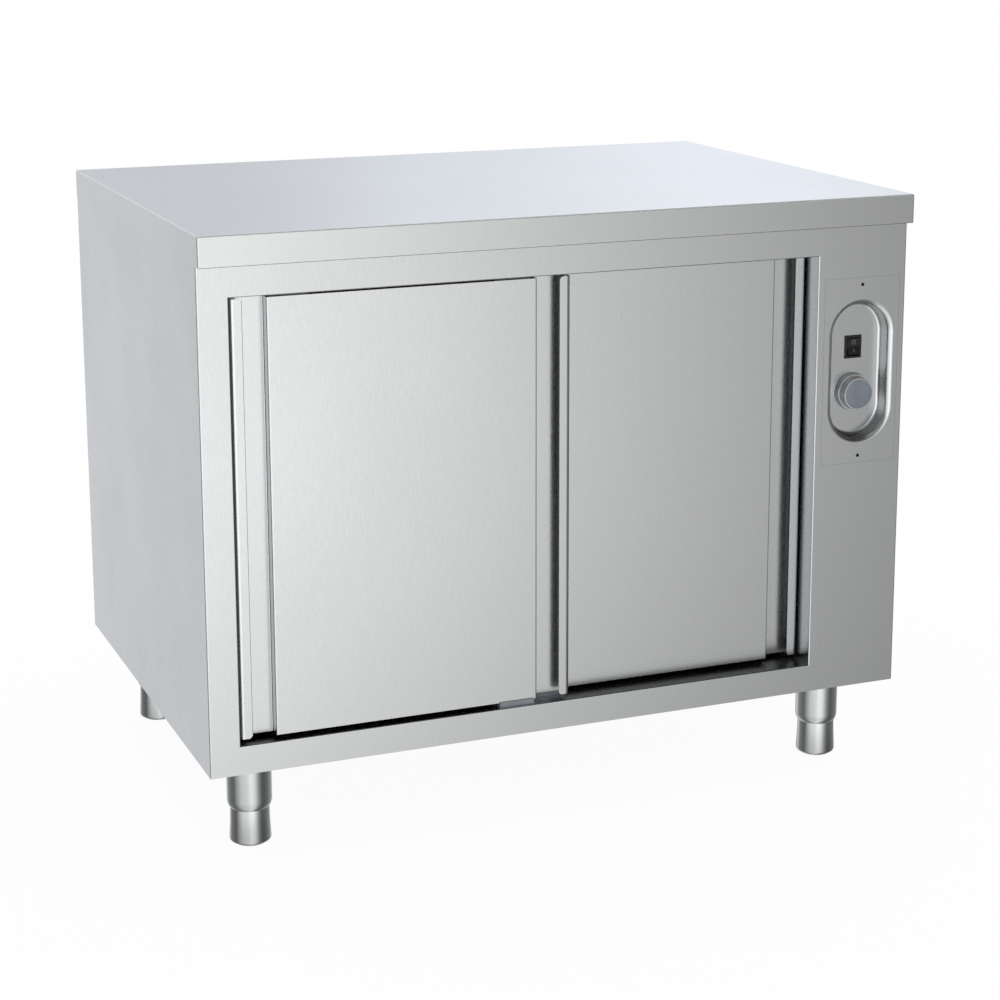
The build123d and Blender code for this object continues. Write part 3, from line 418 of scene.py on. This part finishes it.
def speckled(name, colours, scale, roughness, depth):
    """A matt mixture of two tones, for board, wool and rubber."""
    material, tree, shader = new_material(name, Roughness=roughness)
    pattern = noise(tree, scale, detail=6.0)
    tree.links.new(mixed(tree, to_range(tree, pattern, 0, 1), *colours),
                   shader.inputs["Base Color"])
    add_bump(tree, shader, pattern, depth)
    return material


def cast_metal(name, colour, roughness, metallic=1.0, gloss=0.5):
    """Plain metal with a slightly uneven tone and surface."""
    material, tree, shader = new_material(name, Metallic=metallic, Specular_IOR_Level=gloss)
    cloud = noise(tree, casting_scale, detail=3.0)
    vary(tree, shader, cloud, colour, cast_tones, roughness, cast_play)
    add_bump(tree, shader, cloud, casting_depth)
    return material


def turned_metal(name, colour, roughness, metallic, node):
    """Metal turned on a lathe about the node's own Y axis, with fine rings."""
    material, tree, shader = new_material(name, Metallic=metallic)
    low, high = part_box(node)
    place = tree.nodes.new("ShaderNodeTexCoord").outputs["Object"]
    centred = vector_step(tree, "SUBTRACT", place, (low + high) / 2)
    flat = vector_step(tree, "MULTIPLY", centred.outputs["Vector"], (1, 0, 1))
    radius = vector_step(tree, "LENGTH", flat.outputs["Vector"])
    rings = tree.nodes.new("ShaderNodeTexNoise")
    rings.noise_dimensions = "1D"
    rings.inputs["Scale"].default_value = turning_scale
    tree.links.new(radius.outputs["Value"], rings.inputs["W"])
    vary(tree, shader, rings.outputs["Fac"], colour, turned_tones, roughness, turned_play)
    add_bump(tree, shader, rings.outputs["Fac"], turning_depth)
    return material


def make_materials():
    """One material for each material slot of the record, and a few more for the scene."""
    return {
        "stainless": brushed_steel("sheet, upright grain", sheet_colour, sheet_roughness, "Z"),
        "worktop": worn_edges(brushed_steel("sheet, level grain", sheet_colour,
                                            sheet_roughness, "X")),
        "liner_steel": brushed_steel("liner sheet", liner_colour, roughness=0.34, grain="Z",
                                     metallic=0.5),
        "leg_steel": brushed_steel("leg tube", leg_colour, tube_roughness, "Z"),
        # The feet are the tubes' steel, painted darker for the shade they show low down by the
        # floor.
        "foot_steel": brushed_steel("foot", scaled(leg_colour, foot_painted_shade), tube_roughness, "Z"),
        # The doors' sheet is the same steel, painted a little lighter to offset the shade they
        # get, set back in the frame.
        "door_sheet": brushed_steel("door sheet, painted lighter", scaled(sheet_colour, door_painted_lift),
                                    sheet_roughness, "Z"),
        "zinc_steel": cast_metal("zinc plate", zinc_colour, roughness=0.34),
        "board": speckled("chipboard", board_colours, board_scale, roughness=0.8,
                          depth=board_depth),
        "mineral_wool": speckled("mineral wool", wool_colours, wool_scale, roughness=0.95,
                                 depth=wool_depth),
        "track_aluminium": cast_metal("track", track_colour, roughness=0.36),
        "rubber_black": speckled("rubber", rubber_colours, rubber_scale, roughness=0.75,
                                 depth=rubber_depth),
        "nylon_grey": moulded("guide nylon", guide_colour, roughness=0.42),
        "nylon_white": moulded("wheel nylon", wheel_colour, roughness=0.4),
        "plastic_black": moulded("black plastic", black_colour, roughness=0.3),
        "plastic_cream": moulded("cream plastic", cream_colour, roughness=0.45),
        "screw_black": cast_metal("black screw", screw_colour, roughness=0.6, metallic=0.0,
                                  gloss=0.2),
        "knob_metal": turned_metal("knob metal", knob_colour, roughness=0.40, metallic=0.82,
                                   node="thermostat_knob"),
        "probe_copper": cast_metal("copper", copper_colour, roughness=0.32),
        "fan_aluminium": cast_metal("fan casting", casting_colour, roughness=0.5),
        "fan_plastic": moulded("fan plastic", fan_colour, roughness=0.4),
        "element_steel": cast_metal("heated sheath", element_colour, roughness=0.45),
        "knob_disc": moulded("knob disc", disc_colour, roughness=0.38),
        "mark": moulded("switch mark", mark_colour, roughness=0.5),
    }


def dress_nodes(materials):
    """Gives each CAD node the material of its slot, but the worktop and the doors their own."""
    own = {"worktop": "worktop", "left_door_skin": "door_sheet", "right_door_skin": "door_sheet"}
    for part in frame["record"]["subparts"]:
        name = own.get(part["node"], part["material_slot"])
        for slot in nodes[part["node"]].material_slots:
            slot.material = materials[name]


# ================================================================ mesh helpers
def object_from(name, shape, material):
    """An object from a bmesh, which this frees."""
    mesh = bpy.data.meshes.new(name)
    shape.to_mesh(mesh)
    shape.free()
    mesh.materials.append(material)
    made = bpy.data.objects.new(name, mesh)
    bpy.context.scene.collection.objects.link(made)
    return made


def mesh_piece(name, build, material, body):
    """An object from a bmesh that build fills, riding on a CAD body."""
    shape = bmesh.new()
    build(shape)
    bmesh.ops.remove_doubles(shape, verts=shape.verts, dist=merge_distance)
    bmesh.ops.recalc_face_normals(shape, faces=shape.faces)
    piece = object_from(name, shape, material)
    piece.data.shade_smooth()
    piece.data.set_sharp_from_angle(angle=math.radians(smooth_angle))
    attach(piece, body)
    return piece


def six_sided(turn):
    """How far a hexagon's side is at that angle, when its nearest is 1."""
    return 1 / math.cos(turn % (math.pi / 3) - math.pi / 6)


def four_sided(turn):
    """How far a square's side is at that angle, when its nearest is 1; its corners are round."""
    return min(1 / max(abs(math.cos(turn)), abs(math.sin(turn))), plate_corner)


def ring_profile(shape, profile, place, steps):
    """Turns (radius, height) points about the axis of place, a matrix.

    A third value, six_sided or four_sided, gives that ring as many sides, and its radius is
    then the distance to a side.
    """
    circles = []
    for radius, height, *form in profile:
        if radius == 0:
            circles.append([shape.verts.new(place @ Vector((0, 0, height)))])
            continue
        circle = []
        for turn in (2 * math.pi * step / steps for step in range(steps)):
            reach = radius * (form[0](turn) if form else 1)
            circle.append(shape.verts.new(
                place @ Vector((reach * math.cos(turn), reach * math.sin(turn), height))))
        circles.append(circle)
    for low, high in zip(circles, circles[1:]):
        for step in range(steps):
            following = (step + 1) % steps
            corners = [low[step % len(low)], low[following % len(low)],
                       high[following % len(high)], high[step % len(high)]]
            shape.faces.new(dict.fromkeys(corners))


def turned(profile, places, steps):
    """A build function for mesh_piece: the profile turned at each of the places."""
    def build(shape):
        for place in places:
            ring_profile(shape, profile, place, steps)
    return build


def rounded_block(shape, ends, radius):
    """Adds a block between the ends along X, Y and Z, with every edge rounded."""
    centre = [sum(pair) / 2 for pair in ends]
    size = [pair[1] - pair[0] for pair in ends]
    place = Matrix.Translation(centre) @ Matrix.Diagonal((*size, 1))
    made = bmesh.ops.create_cube(shape, size=1, matrix=place)
    edges = {edge for corner in made["verts"] for edge in corner.link_edges}
    bmesh.ops.bevel(shape, geom=list(edges), offset=radius, segments=2, affect="EDGES")


def rotation(degrees, axis):
    """A turn about one of the axes through the origin."""
    return Matrix.Rotation(math.radians(degrees), 4, axis)


# ================================================================ knob and switch
def out_of_knob(centre, y):
    """Place on the knob's axis at that Y, whose own Z points out to the front."""
    return Matrix.Translation((centre.x, y, centre.z)) @ rotation(90, "X")


def knob_disc(materials):
    """The painted disc let into the knob's face."""
    low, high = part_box("thermostat_knob")
    profile = [(0, -disc_sunk), (disc_radius, -disc_sunk), (disc_radius, disc_proud / 2),
               (disc_radius - disc_proud, disc_proud), (0, disc_proud)]
    mesh_piece("knob_disc", turned(profile, [out_of_knob((low + high) / 2, low.y)], plain_steps),
               materials["knob_disc"], "knob")


def rocker_face(half):
    """Frame on the rocker's upper (1) or lower (-1) half: its middle, X to the right, Z out."""
    (end_y, end_z), (waist_y, waist_z) = rocker_end, rocker_waist
    along = Vector((0, end_y - waist_y, half * (end_z - waist_z))).normalized() * half
    across = Vector((1, 0, 0))
    outward = across.cross(along)
    middle = Vector((0, (end_y + waist_y) / 2, half * (end_z + waist_z) / 2))
    frame_on_face = Matrix((across, along, outward)).transposed().to_4x4()
    pivot = Matrix.Translation(rocker_pivot) @ rotation(rocker_tilt, "X")
    return pivot @ Matrix.Translation(middle) @ frame_on_face


def switch_marks(materials):
    """The plain O and I moulded on the two halves of the rocker."""
    inner = ring_radius - mark_line
    bevel = mark_height / 2
    ring = [(inner, -mark_height), (inner, bevel), (inner + bevel, mark_height),
            (ring_radius - bevel, mark_height), (ring_radius, bevel),
            (ring_radius, -mark_height)]
    mesh_piece("switch_mark_off", turned(ring, [rocker_face(1)], mark_steps),
               materials["mark"], "rocker")

    def bar(shape):
        size = Matrix.Diagonal((mark_line, bar_length, 2 * mark_height, 1))
        bmesh.ops.create_cube(shape, size=1, matrix=rocker_face(-1) @ size)
        # The upright edges are twice the mark's height, and the others are longer.
        level = [edge for edge in shape.edges if edge.calc_length() > 3 * mark_height]
        bmesh.ops.bevel(shape, geom=level, offset=bevel, segments=2, affect="EDGES")

    mesh_piece("switch_mark_on", bar, materials["mark"], "rocker")


def knob_body(materials):
    """The thermostat's knob: straight sides, a narrow skirt and a rounded face edge."""
    low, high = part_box("thermostat_knob")
    height = high.y - low.y
    rim = [(knob_face - inward, height - down) for inward, down in face_edge]
    profile = [(0, knob_bore), (shaft_radius, knob_bore), (shaft_radius, 0), (knob_skirt, 0),
               (knob_skirt - skirt_taper, knob_step - skirt_edge[1]),
               (knob_skirt - skirt_taper - skirt_edge[0], knob_step),
               (knob_waist + waist_edge[0], knob_step), (knob_waist, knob_step + waist_edge[1]),
               *rim, (0, height)]
    place = out_of_knob((low + high) / 2, high.y)
    piece = mesh_piece("turned_knob", turned(profile, [place], fine_steps),
                       materials["knob_metal"], "knob")
    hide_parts("thermostat_knob")


# ================================================================ screws and bolts
def back_panel_screws(materials):
    """Button-head screws that hold the back panel to the side panels' folds."""
    dome = [(screw_radius * across, screw_height * up) for across, up in screw_dome]
    floor = screw_height * socket_floor
    head = [(0, floor), (socket_apothem, floor, six_sided),
            (socket_apothem, screw_height, six_sided), *dome]
    for side in ("left", "right"):
        low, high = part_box(f"side_panel_{side}")
        x = low.x + back_screw_inset if side == "left" else high.x - back_screw_inset
        first, last = low.z + back_screw_end, high.z - back_screw_end
        heights = [first + (last - first) * step / (back_screws - 1)
                   for step in range(back_screws)]
        places = [Matrix.Translation((x, high.y, z)) @ rotation(-90, "X") for z in heights]
        mesh_piece(f"back_screws_{side}", turned(head, places, screw_steps),
                   materials["zinc_steel"], "cabinet")


def leg_bolts(materials, leg):
    """Four hexagon bolts and washers under a leg's bolting plate."""
    thickness = washer_thickness
    top = thickness + bolt_height
    inward, down = (share * bolt_apothem for share in bolt_chamfer)
    washer_edge = thickness * washer_chamfer
    bolt = [(washer_radius, -thickness / 2), (washer_radius, thickness - washer_edge),
            (washer_radius - washer_edge, thickness), (bolt_apothem, thickness, six_sided),
            (bolt_apothem, top - down, six_sided), (bolt_apothem - inward, top), (0, top)]
    low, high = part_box(f"leg_sleeve_{leg}")
    places = [Matrix.Translation((x, y, high.z - leg_plate)) @ rotation(180, "X")
              for x in (low.x + bolt_inset, high.x - bolt_inset)
              for y in (low.y + bolt_inset, high.y - bolt_inset)]
    mesh_piece(f"leg_bolts_{leg}", turned(bolt, places, screw_steps),
               materials["zinc_steel"], "cabinet")


# ================================================================ legs
def leg_sleeve(materials, leg):
    """A leg's tube with its turned-in lower end, its boss and its bolting plate."""
    low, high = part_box(f"leg_sleeve_{leg}")
    centre, top = (low + high) / 2, high.z
    plate_half = (high.x - low.x) / 2
    plate_low = top - leg_plate
    hole = stem_radius + stem_play
    across, along = sleeve_curve
    turn = math.radians(sleeve_turn)
    radius = sleeve_mouth + across * (1 - math.cos(turn)) + sleeve_rim
    turns = [turn * step / sleeve_steps for step in range(sleeve_steps, -1, -1)]
    curve = [(radius - across * (1 - math.cos(part)),
              sleeve_end + along * (math.sin(turn) - math.sin(part))) for part in turns]
    wall_ends, mouth_starts, mouth_ends = (sleeve_end + above for above in sleeve_inside)
    inside = [(hole, top), (hole, plate_low - boss_length), (boss_radius, plate_low - boss_length),
              (boss_radius, plate_low), (radius - sleeve_wall, plate_low),
              (radius - sleeve_wall, wall_ends), (sleeve_mouth, mouth_starts),
              (sleeve_mouth, mouth_ends)]
    outside = [(radius, plate_low), (plate_half, plate_low, four_sided),
               (plate_half, top, four_sided), (hole, top)]
    place = Matrix.Translation((centre.x, centre.y, 0))
    piece = mesh_piece(f"sleeve_{leg}", turned(inside + curve + outside, [place], fine_steps),
                       materials["leg_steel"], "cabinet")
    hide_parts(f"leg_sleeve_{leg}")


def leg_foot(materials, leg):
    """A leg's foot, flared down to a rounded base, with the stem that it turns on."""
    low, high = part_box(f"foot_{leg}")
    centre = (low + high) / 2
    flare, flare_height = foot_flare
    inner = foot_radius - foot_wall
    turns = [math.pi / 2 * step / foot_steps for step in range(foot_steps + 1)]
    base = [(flare - foot_round * (1 - math.sin(turn)),
             flare_height - foot_round * math.cos(turn)) for turn in turns]
    profile = [(0, 0), (base[0][0] - foot_sole, 0), *base, foot_middle, foot_neck,
               (foot_radius, foot_neck[1] + foot_shoulder), (foot_radius, foot_top),
               (inner, foot_top), (inner, foot_floor), (stem_radius, foot_floor),
               (stem_radius, high.z), (0, high.z)]
    place = Matrix.Translation((centre.x, centre.y, 0))
    piece = mesh_piece(f"turned_foot_{leg}", turned(profile, [place], fine_steps),
                       materials["foot_steel"], f"foot_{leg}")
    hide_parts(f"foot_{leg}")


# ================================================================ doors, guide and worktop
def lip_hems(materials):
    """The rolled free edge of the lip over each door's left grip."""
    beyond, behind = (share * hem_radius for share in hem_set)
    tip_radius, tip = (share * hem_radius for share in hem_tip)
    for side in ("left", "right"):
        low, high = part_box(f"{side}_door_skin")
        length = high.z - low.z - 2 * hem_end
        place = Matrix.Translation((low.x + grip_lip + beyond, low.y + behind, low.z + hem_end))
        profile = [(0, 0), (tip_radius, 0), (hem_radius, tip), (hem_radius, length - tip),
                   (tip_radius, length), (0, length)]
        mesh_piece(f"{side}_door_hem", turned(profile, [place], hem_steps),
                   materials["door_sheet"], f"{side}_door")


def door_guide(materials):
    """The doors' nylon guide, moulded in one: ribs before, between and behind them on a base.

    Blocks that meet are inset from one another, so that their upright faces share no plane.
    """
    low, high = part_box("door_guide")
    left, right = low.x - guide_shift, high.x - guide_shift
    front_door, rear_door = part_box("left_door_back")[1].y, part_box("right_door_skin")[0].y
    fin = (front_door + guide_play, rear_door - guide_play)
    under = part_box("left_door_skin")[0].z - guide_play
    sill = low.z
    inset = guide_edge
    base = ((left + inset, right - inset), (low.y + inset, high.y - inset),
            (sill, sill + guide_base))
    front_rib = ((left, right), (low.y, low.y + guide_rib), (sill, sill + guide_lip))
    middle_rib = ((left + 2 * inset, guide_end), fin, (sill, high.z))
    back_rib = ((left, right), (high.y - guide_back_rib, high.y), (sill, high.z))
    step = ((right - 2 * inset, guide_end - inset), (front_door - guide_step, fin[0] + inset),
            (sill, under))

    def moulding(shape):
        for block in (base, front_rib, middle_rib, back_rib, step):
            rounded_block(shape, block, guide_edge)

    piece = mesh_piece("moulded_guide", moulding, materials["nylon_grey"], "cabinet")
    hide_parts("door_guide")


def worktop_shadow_line(materials):
    """A black strip under the worktop's front edge: a painted shadow line that shows as a fine
    dark line there.
    """
    worktop_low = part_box("worktop")[0]
    face_low, face_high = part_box("front_frame")
    depth, height = shadow_line_bead
    front = worktop_low.y + shadow_line_inset
    bead = ((face_low.x, face_high.x), (front, front + depth),
            (worktop_low.z - height, worktop_low.z + height * shadow_line_sunk))
    # Painted shadow: a black strip along the seam under the worktop, where only shade falls.
    mesh_piece("worktop_shadow_line", lambda shape: rounded_block(shape, bead, height * shadow_line_round),
               materials["rubber_black"], "cabinet")


# ================================================================ studio
def stage_material(name):
    """A material whose node tree holds only its output, with that output's socket."""
    material = bpy.data.materials.new(name)
    material.use_nodes = True
    tree = material.node_tree
    tree.nodes.remove(tree.nodes["Principled BSDF"])
    return material, tree, tree.nodes["Material Output"].inputs["Surface"]


def seen_directly(tree):
    """1 for camera, glossy and transmission rays, and 0 for the others."""
    rays = tree.nodes.new("ShaderNodeLightPath").outputs
    either = calculate(tree, "MAXIMUM", rays["Is Camera Ray"], rays["Is Glossy Ray"])
    return calculate(tree, "MAXIMUM", either, rays["Is Transmission Ray"])


def make_floor():
    """A pale floor: white to the camera where nothing shades it, with the object's shadow."""
    material, tree, surface = stage_material("floor")
    paint = tree.nodes.new("ShaderNodeBsdfDiffuse")
    paint.inputs["Color"].default_value = floor_colour
    glow = tree.nodes.new("ShaderNodeEmission")
    mix = tree.nodes.new("ShaderNodeMixShader")
    share = calculate(tree, "MULTIPLY", seen_directly(tree), floor_white)
    for value, socket in zip((share, paint.outputs[0], glow.outputs[0]), mix.inputs):
        tree.links.new(value, socket)
    tree.links.new(mix.outputs[0], surface)
    shape = bmesh.new()
    bmesh.ops.create_grid(shape, x_segments=1, y_segments=1, size=floor_half)
    floor = object_from("floor", shape, material)
    floor.location.z = cad_low.z - floor_drop
    floor.visible_glossy = False


def make_world():
    """White behind the object, and the same soft light from all round."""
    world = bpy.data.worlds.new("studio")
    bpy.context.scene.world = world
    world.use_nodes = True
    tree = world.node_tree
    background = tree.nodes["Background"]
    background.inputs["Color"].default_value = world_colour
    strength = map_range(tree, seen_directly(tree), (0, world_light), (1, world_seen))
    tree.links.new(strength, background.inputs["Strength"])


def between(tree, value, start, end):
    """A level of the walls, from start's to end's, by a place given as shares of the radius."""
    (start_share, start_level), (end_share, end_level) = start, end
    return map_range(tree, value, (start_share * studio_radius, start_level),
                     (end_share * studio_radius, end_level))


def room_level(tree, place):
    """How bright the walls are by height: dark under the ceiling in front and low at the back."""
    axes = tree.nodes.new("ShaderNodeSeparateXYZ")
    tree.links.new(place, axes.inputs[0])
    x, y, z = axes.outputs
    front = calculate(tree, "MULTIPLY", between(tree, z, *front_floor),
                      between(tree, z, *front_ceiling))
    back = calculate(tree, "MAXIMUM", between(tree, z, *back_floor), between(tree, x, *left_wall))
    step = calculate(tree, "SUBTRACT", back, front)
    return calculate(tree, "MULTIPLY_ADD", step, between(tree, y, *turned_back), front)


def earlier_bounces(tree):
    """How many surfaces the light has met besides the one it is seen in."""
    paths = tree.nodes.new("ShaderNodeLightPath")
    return calculate(tree, "SUBTRACT", paths.outputs["Ray Depth"], 1)


def bounced_colour(tree, colour):
    """The colour, a little bluer in light that comes by way of another surface."""
    share = earlier_bounces(tree)
    share.node.use_clamp = True
    tinted = mixed(tree, share, colour, bounce_tint)
    tinted.node.blend_type = "MULTIPLY"
    return tinted


def bounce_loss(tree):
    """1 for light seen in one reflection, and less and less for each one more."""
    steps = calculate(tree, "POWER", calculate(tree, "MAXIMUM", earlier_bounces(tree), 0),
                      bounce_steepness)
    return calculate(tree, "MAXIMUM", calculate(tree, "POWER", second_bounce, steps), last_bounce)


def wall_ramp(tree, place, brightest):
    """The walls' colour by the direction round the object, as shares of the brightest."""
    turn = tree.nodes.new("ShaderNodeTexGradient")
    turn.gradient_type = "RADIAL"
    ramp = tree.nodes.new("ShaderNodeValToRGB")
    ramp.color_ramp.interpolation = "EASE"
    stops = ramp.color_ramp.elements
    stops.remove(stops[1])
    more_red, more_blue = wall_blue
    for degrees, brightness, blue in studio_walls:
        share = (degrees + 90) / 360
        stop = stops.new(share) if share > 0 else stops[0]
        level = brightness / brightest
        stop.color = (level * (1 + more_red * blue), level, level * (1 + more_blue * blue), 1)
    tree.links.new(place, turn.inputs["Vector"])
    tree.links.new(turn.outputs["Fac"], ramp.inputs["Fac"])
    return ramp.outputs["Color"]


def make_studio_walls():
    """A soft dome that shows only in reflections, bright and dark by turns."""
    material, tree, surface = stage_material("studio walls")
    material.cycles.emission_sampling = "NONE"
    place = tree.nodes.new("ShaderNodeTexCoord").outputs["Object"]
    brightest = max(brightness for _, brightness, _ in studio_walls)
    glow = tree.nodes.new("ShaderNodeEmission")
    tree.links.new(bounced_colour(tree, wall_ramp(tree, place, brightest)), glow.inputs["Color"])
    level = calculate(tree, "MULTIPLY", room_level(tree, place), bounce_loss(tree))
    tree.links.new(calculate(tree, "MULTIPLY", level, brightest), glow.inputs["Strength"])
    tree.links.new(glow.outputs[0], surface)
    shape = bmesh.new()
    round_segments, high_segments = studio_segments
    bmesh.ops.create_uvsphere(shape, u_segments=round_segments, v_segments=high_segments,
                              radius=studio_radius)
    dome = object_from("studio_walls", shape, material)
    dome.visible_camera = False
    dome.visible_diffuse = False
    dome.visible_transmission = False
    dome.visible_shadow = False


# ================================================================ making
make_camera()
materials = make_materials()
dress_nodes(materials)
knob_disc(materials)
switch_marks(materials)
back_panel_screws(materials)
for leg in legs:
    leg_bolts(materials, leg)
lip_hems(materials)
door_guide(materials)
worktop_shadow_line(materials)
knob_body(materials)
for leg in legs:
    leg_sleeve(materials, leg)
    leg_foot(materials, leg)
make_world()
make_floor()
make_studio_walls()
bpy.context.scene.view_settings.view_transform = "Standard"
